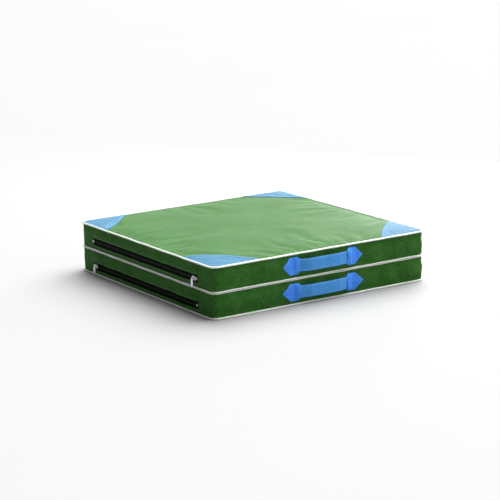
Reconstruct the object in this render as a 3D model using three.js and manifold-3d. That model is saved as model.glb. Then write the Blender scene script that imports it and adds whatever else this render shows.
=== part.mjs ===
// Folding gym mat: two foam panels in zipped canvas covers, joined along one edge by a canvas hinge
// strip, and stored folded in half with the hinge on the +X side.
//
// Frame: millimetres, +Z up, origin at the centre of the lower panel's underside.
// +X points to the hinge, -X to the zipped ends and -Y to the handles.

import * as THREE from "three";
import { mergeVertices } from "three/addons/utils/BufferGeometryUtils.js";
import Module from "manifold-3d";

const wasm = await Module();
wasm.setup();

// Driving dimensions.
const PANEL_SIDE = 490; // cover body, along X and along Y; the piping brings it to 500
const PANEL_THICKNESS = 50;
const CORNER_RADIUS = 14; // upright corners of a panel
const CANVAS = 1.5; // thickness of a cover sheet with its seam allowance
const GAP = 0.3; // clearance between pieces that touch
const PIPING = 4.5; // piping diameter
const PIPING_BEVEL = 1.3; // makes the piping's section an octagon

// Reinforced corners.
const PATCH_LEG = 105;
const PATCH_BULGE = 6; // how far the long edge bows towards the middle of the panel
const PATCH_THICKNESS = 0.7;

// Zip, in heights above the underside of its own panel.
const ZIP_OPENING = 390; // along Y
const ZIP_HEIGHT = 18; // centre line of the chain
const TAPE_HEIGHT = 7.35; // one tape, from the chain's centre line to its canvas strip
const TAPE_THICKNESS = 0.8;
const TAPE_RECESS = 0.4; // tape's face behind the wall's face
const BEAD_HEIGHT = 2.4; // one side's teeth
const BEAD_PROUD = 1.2; // teeth in front of the wall's face
const STOP_LENGTH = 3;
const STOP_THICKNESS = 1;

// Slider and pull.
const SLIDER = { length: 12, height: 9, thickness: 1.6 };
const SLIDER_CLEARANCE = 1; // between a parked slider and the end stop
const BAIL = { length: 10, bar: 1.4, rise: 2.3, root: 0.5 };
// rise: from the slider's face to the bar's centre; root: how far the legs sink into the slider
const KNUCKLE = { outer: 1.9, inner: 1.3, width: 6 };
const PULL = { reach: 15, thickness: 1.2 };

// Handle.
const STRAP_SPAN = 107; // between the tabs
const STRAP_HEIGHT = 24;
const STRAP_THICKNESS = 2.4;
const STRAP_STANDOFF = 8; // centre of the strap in front of the wall, at mid span
const STRAP_LEAD = 24; // from a tab to where the strap runs straight
const TAB = { length: 40, height: 34, shoulder: 22, thickness: 1.6 };

// Hinge strip, one half on each panel.
const STRIP_HEIGHT = 16;
const STRIP_THICKNESS = 1.2;

const HALF = PANEL_SIDE / 2;
const WALL_HEIGHT = PANEL_THICKNESS - 2 * (CANVAS + GAP);
const ARC_STEPS = 6;
const CUT_MARGIN = 1; // how far a cutting shape runs past what it cuts

const canvasGreen = () => material("#1f5a1c", 0.85);
const canvasBlue = () => material("#2f72cf", 0.8);
const pipingWhite = () => material("#e8f0e6", 0.6);
const foamCream = () => material("#e6dcb8", 0.95);
const tapeBlack = () => material("#0c0f0c", 0.7);
const zipMetal = () => material("#c9ced2", 0.3, 0.9);

function material(color, roughness, metalness = 0) {
  return new THREE.MeshStandardMaterial({ color, roughness, metalness });
}

function part(name, geometry, finish, x = 0, y = 0, z = 0) {
  const mesh = new THREE.Mesh(geometry, finish);
  mesh.name = name;
  mesh.position.set(x, y, z);
  return mesh;
}

function toSolid(geometry) {
  const bare = geometry.clone();
  bare.deleteAttribute("normal");
  bare.deleteAttribute("uv");
  const merged = mergeVertices(bare, 1e-4);
  return new wasm.Manifold(
    new wasm.Mesh({
      numProp: 3,
      vertProperties: new Float32Array(merged.attributes.position.array),
      triVerts: new Uint32Array(merged.index.array),
    })
  );
}

function toGeometry(solid) {
  const mesh = solid.getMesh();
  const geometry = new THREE.BufferGeometry();
  geometry.setAttribute("position", new THREE.BufferAttribute(mesh.vertProperties, 3));
  geometry.setIndex(new THREE.BufferAttribute(mesh.triVerts, 1));
  return geometry;
}

function extrude(shape, depth) {
  return new THREE.ExtrudeGeometry(shape, { depth, bevelEnabled: false, curveSegments: ARC_STEPS });
}

/** A profile drawn in (outward, up), swept along Y and centred on y = 0, facing the -X wall. */
function sweepAlongY(shape, length) {
  const geometry = extrude(shape, length);
  geometry.translate(0, 0, -length / 2);
  geometry.rotateX(Math.PI / 2);
  geometry.rotateZ(Math.PI);
  return geometry;
}

function roundedSquare(half, radius) {
  const straight = half - radius;
  const shape = new THREE.Shape();
  shape.moveTo(-straight, -half);
  shape.absarc(straight, -straight, radius, -Math.PI / 2, 0);
  shape.absarc(straight, straight, radius, 0, Math.PI / 2);
  shape.absarc(-straight, straight, radius, Math.PI / 2, Math.PI);
  shape.absarc(-straight, -straight, radius, Math.PI, Math.PI * 1.5);
  shape.closePath();
  return shape;
}

function rectangle(x0, y0, x1, y1) {
  const shape = new THREE.Shape();
  shape.moveTo(x0, y0);
  shape.lineTo(x1, y0);
  shape.lineTo(x1, y1);
  shape.lineTo(x0, y1);
  shape.closePath();
  return shape;
}

/** The outline of a band of even width that follows an open line of points. */
function bandAlong(points, width) {
  const left = [];
  const right = [];
  points.forEach((point, i) => {
    const before = points[Math.max(i - 1, 0)];
    const after = points[Math.min(i + 1, points.length - 1)];
    const into = point.clone().sub(before).normalize();
    const out = after.clone().sub(point).normalize();
    const along = into.clone().add(out).normalize();
    const straightness = Math.max(along.dot(into), along.dot(out));
    const normal = new THREE.Vector2(-along.y, along.x).multiplyScalar(width / 2 / straightness);
    left.push(point.clone().add(normal));
    right.push(point.clone().sub(normal));
  });
  return new THREE.Shape([...left, ...right.reverse()]);
}

/** Foam slab, a running clearance inside its cover. */
function foamGeometry() {
  const inset = CANVAS + GAP;
  return extrude(roundedSquare(HALF - inset, CORNER_RADIUS - inset), PANEL_THICKNESS - 2 * inset);
}

/** Side wall: front, hinge side and back, with short returns that frame the zip. */
function boxingGeometry() {
  const half = HALF - CANVAS / 2;
  const radius = CORNER_RADIUS - CANVAS / 2;
  const straight = half - radius;
  const line = new THREE.Path();
  line.moveTo(-half, -ZIP_OPENING / 2);
  line.absarc(-straight, -straight, radius, Math.PI, Math.PI * 1.5);
  line.absarc(straight, -straight, radius, -Math.PI / 2, 0);
  line.absarc(straight, straight, radius, 0, Math.PI / 2);
  line.absarc(-straight, straight, radius, Math.PI / 2, Math.PI);
  line.lineTo(-half, ZIP_OPENING / 2);
  return extrude(bandAlong(line.getPoints(ARC_STEPS), CANVAS), WALL_HEIGHT);
}

/** A corner piece, drawn for the +X +Y corner, with its long edge bowed towards the middle. */
function cornerShape(leg, bulge, drawCorner) {
  const bow = HALF - leg / 2 - bulge * Math.SQRT2;
  const shape = new THREE.Shape();
  shape.moveTo(HALF, HALF - leg);
  drawCorner(shape);
  shape.lineTo(HALF - leg, HALF);
  shape.quadraticCurveTo(bow, bow, HALF, HALF - leg);
  return shape;
}

function patchGeometry(quarterTurns) {
  const straight = HALF - CORNER_RADIUS;
  const shape = cornerShape(PATCH_LEG, PATCH_BULGE, (outline) => {
    outline.absarc(straight, straight, CORNER_RADIUS, 0, Math.PI / 2);
  });
  return extrude(shape, PATCH_THICKNESS).rotateZ((quarterTurns * Math.PI) / 2);
}

/** What is cut from the outer sheet for a patch. It runs past the sheet's edge. */
function pocketShape() {
  const leg = PATCH_LEG + 2 * GAP;
  const beyond = HALF + CUT_MARGIN;
  return cornerShape(leg, PATCH_BULGE + GAP, (outline) => {
    outline.lineTo(beyond, HALF - leg);
    outline.lineTo(beyond, beyond);
    outline.lineTo(HALF - leg, beyond);
  });
}

/** Outer sheet. Its four corners are thinned on the outside, so that the patches lie flush. */
function outerSheetGeometry(outsideIsUp) {
  let sheet = toSolid(extrude(roundedSquare(HALF, CORNER_RADIUS), CANVAS));
  const depth = PATCH_THICKNESS + GAP;
  const reach = depth + CUT_MARGIN;
  for (let turn = 0; turn < 4; turn += 1) {
    const pocket = extrude(pocketShape(), reach).rotateZ((turn * Math.PI) / 2);
    pocket.translate(0, 0, outsideIsUp ? CANVAS - depth : depth - reach);
    sheet = sheet.subtract(toSolid(pocket));
  }
  return toGeometry(sheet);
}

function bevelled(shape) {
  return new THREE.ExtrudeGeometry(shape, {
    depth: PIPING - 2 * PIPING_BEVEL,
    bevelEnabled: true,
    bevelThickness: PIPING_BEVEL,
    bevelSize: PIPING_BEVEL,
    bevelOffset: -PIPING_BEVEL,
    bevelSegments: 1,
    curveSegments: ARC_STEPS,
  }).translate(0, 0, PIPING_BEVEL);
}

/** Piping round the outer sheet: a closed loop just outside the wall. */
function outerPipingGeometry() {
  const inner = HALF + GAP;
  const shape = roundedSquare(inner + PIPING, CORNER_RADIUS + GAP + PIPING);
  shape.holes.push(roundedSquare(inner, CORNER_RADIUS + GAP));
  return bevelled(shape);
}

/** Piping round the inner sheet: front, zipped end and back, ending short of the hinge strip. */
function innerPipingGeometry() {
  const half = HALF + GAP + PIPING / 2;
  const straight = HALF - CORNER_RADIUS;
  const radius = half - straight;
  const line = new THREE.Path();
  line.moveTo(straight, half);
  line.absarc(-straight, straight, radius, Math.PI / 2, Math.PI);
  line.absarc(-straight, -straight, radius, Math.PI, Math.PI * 1.5);
  line.lineTo(straight, -half);
  return bevelled(bandAlong(line.getPoints(ARC_STEPS), PIPING));
}

/** Zip tape with its row of teeth at the end nearest the chain's centre line. */
function tapeGeometry(isUpper) {
  const shape = new THREE.Shape();
  const front = -TAPE_RECESS;
  const back = front - TAPE_THICKNESS;
  const side = isUpper ? 1 : -1;
  const near = (side * GAP) / 2;
  shape.moveTo(back, near);
  shape.lineTo(BEAD_PROUD, near);
  shape.lineTo(BEAD_PROUD, side * BEAD_HEIGHT);
  shape.lineTo(front, side * BEAD_HEIGHT);
  shape.lineTo(front, side * TAPE_HEIGHT);
  shape.lineTo(back, side * TAPE_HEIGHT);
  shape.closePath();
  return sweepAlongY(shape, ZIP_OPENING - 2 * GAP);
}

/** Clamp over the teeth that stops the slider at one end of the chain. */
function endStopGeometry() {
  const stop = new THREE.BoxGeometry(STOP_THICKNESS, STOP_LENGTH, 2 * BEAD_HEIGHT);
  return stop.translate(-BEAD_PROUD - GAP - STOP_THICKNESS / 2, 0, 0);
}

const SLIDER_FACE = BEAD_PROUD + GAP + SLIDER.thickness; // in front of the wall
const BAR_OUT = SLIDER_FACE + BAIL.rise;

/** Slider: a plate over the chain with a bail, whose bar runs along the chain. */
function sliderGeometry() {
  const plate = new THREE.BoxGeometry(SLIDER.thickness, SLIDER.length, SLIDER.height);
  plate.translate(-(SLIDER_FACE - SLIDER.thickness / 2), 0, 0);
  const outer = BAIL.length / 2;
  const inner = outer - BAIL.bar;
  const top = BAIL.rise + BAIL.bar / 2;
  const bail = new THREE.Shape();
  bail.moveTo(-outer, -BAIL.root);
  bail.lineTo(-outer, top);
  bail.lineTo(outer, top);
  bail.lineTo(outer, -BAIL.root);
  bail.lineTo(inner, -BAIL.root);
  bail.lineTo(inner, top - BAIL.bar);
  bail.lineTo(-inner, top - BAIL.bar);
  bail.lineTo(-inner, -BAIL.root);
  bail.closePath();
  const arch = extrude(bail, BAIL.bar).translate(0, 0, -BAIL.bar / 2);
  arch.rotateZ(Math.PI / 2);
  arch.translate(-SLIDER_FACE, 0, 0);
  return toGeometry(toSolid(plate).add(toSolid(arch)));
}

/** Pull: a tab rolled round the bail's bar, hanging down in front of the wall. */
function pullGeometry() {
  const { outer, inner, width } = KNUCKLE;
  const shape = new THREE.Shape();
  shape.moveTo(outer, 0);
  shape.absarc(0, 0, outer, 0, Math.PI * 1.5);
  shape.lineTo(outer - PULL.thickness, -outer);
  shape.lineTo(outer - PULL.thickness, -PULL.reach);
  shape.lineTo(outer, -PULL.reach);
  shape.closePath();
  const eye = new THREE.Path();
  eye.absarc(0, 0, inner, 0, Math.PI * 2, true);
  shape.holes.push(eye);
  return sweepAlongY(shape, width);
}

/** Handle strap: a band of doubled canvas that bows out from the front wall. */
function strapGeometry() {
  const end = STRAP_SPAN / 2 - GAP;
  const rise = STRAP_STANDOFF;
  const foot = STRAP_THICKNESS / 2 + 2 * GAP;
  const line = new THREE.CubicBezierCurve(
    new THREE.Vector2(-end, -foot),
    new THREE.Vector2(-end + STRAP_LEAD / 2, -foot),
    new THREE.Vector2(-end + STRAP_LEAD / 2, -rise),
    new THREE.Vector2(-end + STRAP_LEAD, -rise)
  );
  const lead = line.getPoints(8);
  const mirrored = lead.map((point) => new THREE.Vector2(-point.x, point.y)).reverse();
  const band = bandAlong([...lead, ...mirrored], STRAP_THICKNESS);
  return extrude(band, STRAP_HEIGHT).translate(0, 0, -STRAP_HEIGHT / 2);
}

/** Handle tab: a house-shaped reinforcement with its point away from the strap. */
function tabGeometry(side) {
  const half = TAB.height / 2;
  const shape = new THREE.Shape();
  shape.moveTo(0, -half);
  shape.lineTo(TAB.shoulder, -half);
  shape.lineTo(TAB.length, 0);
  shape.lineTo(TAB.shoulder, half);
  shape.lineTo(0, half);
  shape.closePath();
  const plate = extrude(shape, TAB.thickness);
  plate.rotateX(Math.PI / 2);
  if (side < 0) {
    plate.rotateZ(Math.PI);
    plate.translate(0, -TAB.thickness, 0);
  }
  return plate;
}

/** One canvas-covered foam panel, with its underside at z = 0. */
function panel({ name, base, outsideIsUp, sliderEnd }) {
  const group = new THREE.Group();
  group.position.z = base;
  const add = (label, ...rest) => group.add(part(`${name}_${label}`, ...rest));
  const level = (fromOutside, thickness) =>
    outsideIsUp ? PANEL_THICKNESS - fromOutside - thickness : fromOutside;
  const inset = CANVAS + GAP;

  add("foam_core", foamGeometry(), foamCream(), 0, 0, inset);
  add("outer_sheet", outerSheetGeometry(outsideIsUp), canvasGreen(), 0, 0, level(0, CANVAS));
  const innerSheet = extrude(roundedSquare(HALF, CORNER_RADIUS), CANVAS);
  add("inner_sheet", innerSheet, canvasGreen(), 0, 0, level(PANEL_THICKNESS - CANVAS, CANVAS));
  add("side_wall", boxingGeometry(), canvasGreen(), 0, 0, inset);
  add("outer_piping", outerPipingGeometry(), pipingWhite(), 0, 0, level(0, PIPING));
  const innerPipingLevel = level(PANEL_THICKNESS - PIPING, PIPING);
  add("inner_piping", innerPipingGeometry(), pipingWhite(), 0, 0, innerPipingLevel);

  const corners = ["hinge_back", "zip_back", "zip_front", "hinge_front"];
  corners.forEach((corner, turn) => {
    const patchLevel = level(0, PATCH_THICKNESS);
    add(`patch_${corner}`, patchGeometry(turn), canvasBlue(), 0, 0, patchLevel);
  });

  const stripLength = ZIP_OPENING - 2 * GAP;
  const facingTop = ZIP_HEIGHT - TAPE_HEIGHT - GAP;
  const facing = rectangle(-CANVAS, inset, 0, facingTop);
  add("zip_facing", sweepAlongY(facing, stripLength), canvasGreen(), -HALF);
  const flap = rectangle(-CANVAS, ZIP_HEIGHT + TAPE_HEIGHT + GAP, 0, PANEL_THICKNESS - inset);
  add("zip_flap", sweepAlongY(flap, stripLength), canvasGreen(), -HALF);
  add("zip_tape_upper", tapeGeometry(true), tapeBlack(), -HALF, 0, ZIP_HEIGHT);
  add("zip_tape_lower", tapeGeometry(false), tapeBlack(), -HALF, 0, ZIP_HEIGHT);
  const stopY = ZIP_OPENING / 2 - STOP_LENGTH;
  add("zip_stop_front", endStopGeometry(), zipMetal(), -HALF, -stopY, ZIP_HEIGHT);
  add("zip_stop_back", endStopGeometry(), zipMetal(), -HALF, stopY, ZIP_HEIGHT);

  const sliderY = sliderEnd * (stopY - STOP_LENGTH / 2 - SLIDER_CLEARANCE - SLIDER.length / 2);
  add("zip_slider", sliderGeometry(), zipMetal(), -HALF, sliderY, ZIP_HEIGHT);
  add("zip_pull", pullGeometry(), zipMetal(), -HALF - BAR_OUT, sliderY, ZIP_HEIGHT);

  const middle = PANEL_THICKNESS / 2;
  add("handle_strap", strapGeometry(), canvasBlue(), 0, -HALF, middle);
  [-1, 1].forEach((side) => {
    const label = side < 0 ? "handle_tab_zip_side" : "handle_tab_hinge_side";
    add(label, tabGeometry(side), canvasBlue(), (side * STRAP_SPAN) / 2, -HALF - GAP, middle);
  });

  const stripShape = rectangle(0, -HALF + CORNER_RADIUS, STRIP_THICKNESS, HALF - CORNER_RADIUS);
  const stripLevel = level(PANEL_THICKNESS - STRIP_HEIGHT, STRIP_HEIGHT);
  const strip = extrude(stripShape, STRIP_HEIGHT);
  add("hinge_strip_half", strip, canvasGreen(), HALF + GAP, 0, stripLevel);
  return group;
}

const mat = new THREE.Group();
mat.add(panel({ name: "lower", base: 0, outsideIsUp: false, sliderEnd: 1 }));
mat.add(panel({ name: "upper", base: PANEL_THICKNESS + GAP, outsideIsUp: true, sliderEnd: -1 }));

export default mat;
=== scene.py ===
import math

import bpy
import numpy as np
from mathutils import Matrix, Vector
from mathutils.bvhtree import BVHTree


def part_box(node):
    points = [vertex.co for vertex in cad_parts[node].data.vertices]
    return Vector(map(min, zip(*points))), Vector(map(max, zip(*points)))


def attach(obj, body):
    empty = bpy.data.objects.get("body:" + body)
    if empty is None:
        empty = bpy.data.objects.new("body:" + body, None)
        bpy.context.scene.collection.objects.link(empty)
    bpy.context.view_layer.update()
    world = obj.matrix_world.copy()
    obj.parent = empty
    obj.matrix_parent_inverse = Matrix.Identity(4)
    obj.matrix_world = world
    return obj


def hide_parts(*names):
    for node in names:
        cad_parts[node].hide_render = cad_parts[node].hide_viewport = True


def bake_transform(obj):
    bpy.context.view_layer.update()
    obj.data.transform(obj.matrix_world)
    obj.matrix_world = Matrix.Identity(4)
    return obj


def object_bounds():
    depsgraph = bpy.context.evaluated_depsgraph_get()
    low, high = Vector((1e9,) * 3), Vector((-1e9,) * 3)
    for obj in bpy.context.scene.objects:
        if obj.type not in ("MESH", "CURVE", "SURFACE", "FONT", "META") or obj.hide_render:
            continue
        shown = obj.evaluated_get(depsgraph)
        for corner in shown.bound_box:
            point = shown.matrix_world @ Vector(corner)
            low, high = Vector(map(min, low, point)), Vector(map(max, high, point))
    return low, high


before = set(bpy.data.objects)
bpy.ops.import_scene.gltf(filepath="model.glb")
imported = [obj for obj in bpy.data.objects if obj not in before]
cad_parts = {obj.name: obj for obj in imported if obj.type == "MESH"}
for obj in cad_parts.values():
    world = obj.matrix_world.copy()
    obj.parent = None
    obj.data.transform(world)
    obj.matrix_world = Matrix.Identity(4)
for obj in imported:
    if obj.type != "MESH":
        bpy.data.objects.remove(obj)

# Folding gym mat. Everything is in metres in the frame's own axes: +X to the hinge, -X to the
# zipped ends, -Y to the handles, +Z up.

MM = 0.001
CAD_LOW, CAD_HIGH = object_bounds()
SCENE = bpy.context.scene

SHARP_ANGLE = math.radians(50)  # faces that meet at more than this show an edge
RAY_REACH = 40 * MM  # rays start this far in front of the surface they land on


# ---------------- numbers and curves


def smooth(x, low=0.0, high=1.0):
    """0 below low, 1 above high, and an even S-curve between."""
    t = np.clip((np.asarray(x, float) - low) / (high - low), 0, 1)
    return t * t * (3 - 2 * t)


def ripple(x, y, wavelength, seed, waves=7):
    """Smooth random ripples over a plane, roughly from -1 to 1."""
    rng = np.random.default_rng(seed)
    total = np.zeros(np.broadcast(x, y).shape)
    for _ in range(waves):
        angle = rng.uniform(0, math.pi)
        number = 2 * math.pi / (wavelength * rng.uniform(0.7, 1.6))
        phase = rng.uniform(0, 2 * math.pi)
        total += np.sin(number * (x * math.cos(angle) + y * math.sin(angle)) + phase)
    return total / math.sqrt(waves)


def spaced(breaks, steps):
    """Coordinates through the break points, with so many even steps between each pair."""
    pairs = zip(breaks[:-1], breaks[1:], steps)
    runs = [np.linspace(a, b, n, endpoint=False) for a, b, n in pairs]
    return np.concatenate([*runs, [breaks[-1]]])


def around(sides):
    """Even angles round a circle."""
    return np.linspace(0, 2 * math.pi, sides, endpoint=False)


def quarter_arc(count):
    """Points on a quarter of a circle of radius 1, from +X to +Y."""
    turn = np.linspace(0, math.pi / 2, count)
    return np.stack([np.cos(turn), np.sin(turn)], 1)


def powered(values, power):
    """Values from -1 to 1, raised to a power with their signs kept. It squares off a circle."""
    return np.sign(values) * np.abs(values) ** power


def unit(vectors):
    """Vectors of length 1 in the same directions."""
    return vectors / np.maximum(np.linalg.norm(vectors, axis=-1, keepdims=True), 1e-15)


def xyz(x, y, z):
    """Points from three coordinates, each of them one number or an array."""
    return np.stack(np.broadcast_arrays(x, y, z), -1)


def least(*values):
    """The least of several numbers or arrays, place by place."""
    return np.minimum.reduce(np.broadcast_arrays(*values))


def walked(line):
    """For each point of a line: how far along the line it is."""
    return np.r_[0, np.cumsum(np.linalg.norm(np.diff(line, axis=0), axis=1))]


def normals_beside(line):
    """For each point of a line in a plane: the direction to the right of its way."""
    ahead = unit(np.gradient(line, axis=0))
    return np.stack([ahead[:, 1], -ahead[:, 0]], 1)


def resampled(line, pitch, margin):
    """Points at an even pitch along a line, with the line's direction at each. The margin is
    left free at both ends."""
    length = walked(line)
    run = length[-1] - 2 * margin
    count = max(int(run / pitch), 1)
    at = margin + run * (np.arange(count) + 0.5) / count

    def point(s):
        return np.stack([np.interp(s, length, column) for column in line.T], 1)

    return point(at), unit(point(at + pitch / 4) - point(at - pitch / 4))


def curved(line, per_step, closed):
    """A smooth curve through the points of a line (Catmull-Rom)."""
    count = len(line)
    steps = count if closed else count - 1
    at = np.arange(steps * per_step + (0 if closed else 1)) / per_step
    start = np.minimum(np.floor(at).astype(int), steps - 1)
    t = (at - start)[:, None]

    def point(offset):
        index = start + offset
        return line[index % count] if closed else line[np.clip(index, 0, count - 1)]

    a, b, c, d = (point(k) for k in (-1, 0, 1, 2))
    cubic = (3 * (b - c) + d - a) * t**3 + (2 * a - 5 * b + 4 * c - d) * t**2
    return b + 0.5 * (cubic + (c - a) * t)


# ---------------- meshes


def grid_faces(rows, columns, loop=False):
    """Quads over points kept row by row. loop joins each row's end to its start."""
    pairs = [(c, (c + 1) % columns) for c in range(columns if loop else columns - 1)]
    return [(r + c, r + d, r + columns + d, r + columns + c)
            for r in range(0, (rows - 1) * columns, columns) for c, d in pairs]


def vertex_normals(points, quads):
    quads = np.array(quads)
    a, b, c, d = points[quads].transpose(1, 0, 2)
    across = np.cross(b - a, d - a) + np.cross(d - c, b - c)
    normals = np.zeros_like(points)
    for k in range(4):
        np.add.at(normals, quads[:, k], across)
    return unit(normals)


def thickened(points, quads, depth):
    """An open sheet as a thin closed solid: a second layer behind the first, and a rim. depth is
    one number, or one for each point."""
    count = len(points)
    back = points - vertex_normals(points, quads) * np.broadcast_to(depth, count)[:, None]
    edges = {(q[k], q[(k + 1) % 4]) for q in quads for k in range(4)}
    rim = [(b, a, a + count, b + count) for a, b in sorted(edges) if (b, a) not in edges]
    behind = [tuple(i + count for i in reversed(q)) for q in quads]
    return np.concatenate([points, back]), [*quads, *behind, *rim]


def lofted(rings):
    """A closed solid through rings of points, with a flat face at each end."""
    count, sides = len(rings), len(rings[0])
    faces = grid_faces(count, sides, loop=True)
    faces.append(tuple(reversed(range(sides))))
    faces.append(tuple(range((count - 1) * sides, count * sides)))
    return np.concatenate(rings), faces


def tube(line, radius, sides=12, closed=False):
    """A round tube along a line. radius is one number, or one for each point."""
    if closed:
        along = unit(np.roll(line, -1, 0) - np.roll(line, 1, 0))
    else:
        along = unit(np.gradient(line, axis=0))
    side = unit(np.cross(along, (0, 0, 1)))
    over = np.cross(side, along)
    turn = math.pi + around(sides)
    ring = side[:, None] * np.cos(turn)[:, None] + over[:, None] * np.sin(turn)[:, None]
    rings = line[:, None] + np.broadcast_to(radius, len(line))[:, None, None] * ring
    if not closed:
        return lofted(rings)
    points = rings.reshape(-1, 3)
    faces = grid_faces(len(line) + 1, sides, loop=True)
    return points, [tuple(i % len(points) for i in face) for face in faces]


def joined(*shapes):
    """Several (points, faces) as one."""
    points, faces, base = [], [], 0
    for p, f in shapes:
        points.append(np.asarray(p, float))
        faces += [tuple(i + base for i in face) for face in f]
        base += len(p)
    return np.concatenate(points), faces


def raw_mesh(name, points, faces):
    mesh = bpy.data.meshes.new(name)
    mesh.from_pydata([tuple(p) for p in points], [], faces)
    return mesh


def linked(name, data):
    """A new object in the scene."""
    obj = bpy.data.objects.new(name, data)
    SCENE.collection.objects.link(obj)
    return obj


def read(items, name, width=1, kind=np.int32):
    """A property of a mesh's elements, as an array with a row for each of them."""
    data = np.zeros(len(items) * width, kind)
    items.foreach_get(name, data)
    return data.reshape(-1, width)


def piece(name, shape, material, body=None, stands_for=(), weave=None):
    """A closed mesh that rides on a body. weave holds, for each point, the place on the flat
    cloth (two lengths) and the distance to the nearest hem, all in metres."""
    points, faces = shape
    mesh = raw_mesh(name, points, faces)
    mesh.calc_loop_triangles()
    corners = read(mesh.loop_triangles, "vertices", 3)
    a, b, c = (points - np.mean(points, axis=0))[corners].transpose(1, 0, 2)
    if (a * np.cross(b, c)).sum() < 0:
        mesh.flip_normals()
    mesh.polygons.foreach_set("use_smooth", [True] * len(mesh.polygons))
    mesh.set_sharp_from_angle(angle=SHARP_ANGLE)
    mesh.update()
    mesh.materials.append(material)
    if weave is not None:
        data = xyz(*weave).reshape(-1, 3).astype(np.float32)
        if len(data) * 2 == len(points):  # the two layers of a sheet
            data = np.concatenate([data, data])
        attribute = mesh.attributes.new("weave", "FLOAT_VECTOR", "POINT")
        attribute.data.foreach_set("vector", data.ravel())
    obj = linked(name, mesh)
    if body:
        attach(obj, body)
    if stands_for:
        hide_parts(*stands_for)
    return obj


class Surface:
    """A mesh that other pieces are laid on."""

    def __init__(self, points, faces):
        self.tree = BVHTree.FromPolygons([tuple(p) for p in points], [tuple(f) for f in faces])

    def land(self, points, out):
        """Where points meet the surface, seen from outside it, and its normals there. A point
        beside the surface stops level with the edge nearest to it."""
        places, normals = [], []
        out = np.array(out, float)
        way = Vector(-out)
        for origin in map(Vector, points + out * RAY_REACH):
            place, normal, _, _ = self.tree.ray_cast(origin, way)
            if place is None:
                near = self.tree.find_nearest(origin)[0]
                beside = origin + way * (near - origin).dot(way)
                edge, normal, _, _ = self.tree.find_nearest(beside)
                place = origin + way * (edge - origin).dot(way)
            places.append(place)
            normals.append(normal if normal.dot(way) < 0 else -normal)
        return np.array(places, float), np.array(normals, float)


# ---------------- materials

THREAD_PITCH = 1.15 * MM  # of the canvas weave


class Nodes:
    """The node tree of a material or a world, with short ways to add and link nodes."""

    def __init__(self, owner):
        self.owner = owner
        owner.use_nodes = True
        self.tree = owner.node_tree

    def put(self, socket, value):
        if isinstance(value, bpy.types.NodeSocket):
            self.tree.links.new(value, socket)
        else:
            socket.default_value = value

    def add(self, kind, inputs=None, output=0, **settings):
        """Adds a node, and gives one of its outputs."""
        node = self.tree.nodes.new("ShaderNode" + kind)
        for key, value in settings.items():
            setattr(node, key, value)
        for key, value in (inputs or {}).items():
            self.put(node.inputs[key], value)
        return node.outputs[output]

    def math(self, operation, a, b):
        return self.add("Math", {0: a, 1: b}, operation=operation)

    def scaled(self, vector, factors):
        return self.add("VectorMath", {0: vector, 1: factors}, operation="MULTIPLY")

    def noise(self, vector, scale, detail=3.0, roughness=0.55):
        return self.add("TexNoise", {"Vector": vector, "Scale": scale, "Detail": detail,
                                     "Roughness": roughness}, "Fac")

    def spread(self, value, from_low, from_high, to_low, to_high, **settings):
        return self.add("MapRange", {"Value": value, "From Min": from_low, "From Max": from_high,
                                     "To Min": to_low, "To Max": to_high}, "Result", **settings)

    def mix(self, share, a, b):
        return self.add("Mix", {0: share, 6: a, 7: b}, 2, data_type="RGBA")

    def tones(self, share, color, low, high):
        """From a darker to a lighter tone of a colour."""
        a, b = ((*[min(c * factor, 1.0) for c in color], 1.0) for factor in (low, high))
        return self.mix(share, a, b)

    def bump(self, height, distance, strength=1.0, **under):
        return self.add("Bump", {"Height": height, "Distance": distance, "Strength": strength,
                                 **under}, "Normal")

    def finish(self, color, roughness, normal, **fixed):
        shader = self.tree.nodes["Principled BSDF"]
        for key, value in {"Base_Color": color, "Roughness": roughness, "Normal": normal,
                           **fixed}.items():
            self.put(shader.inputs[key.replace("_", " ")], value)
        return self.owner


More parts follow.
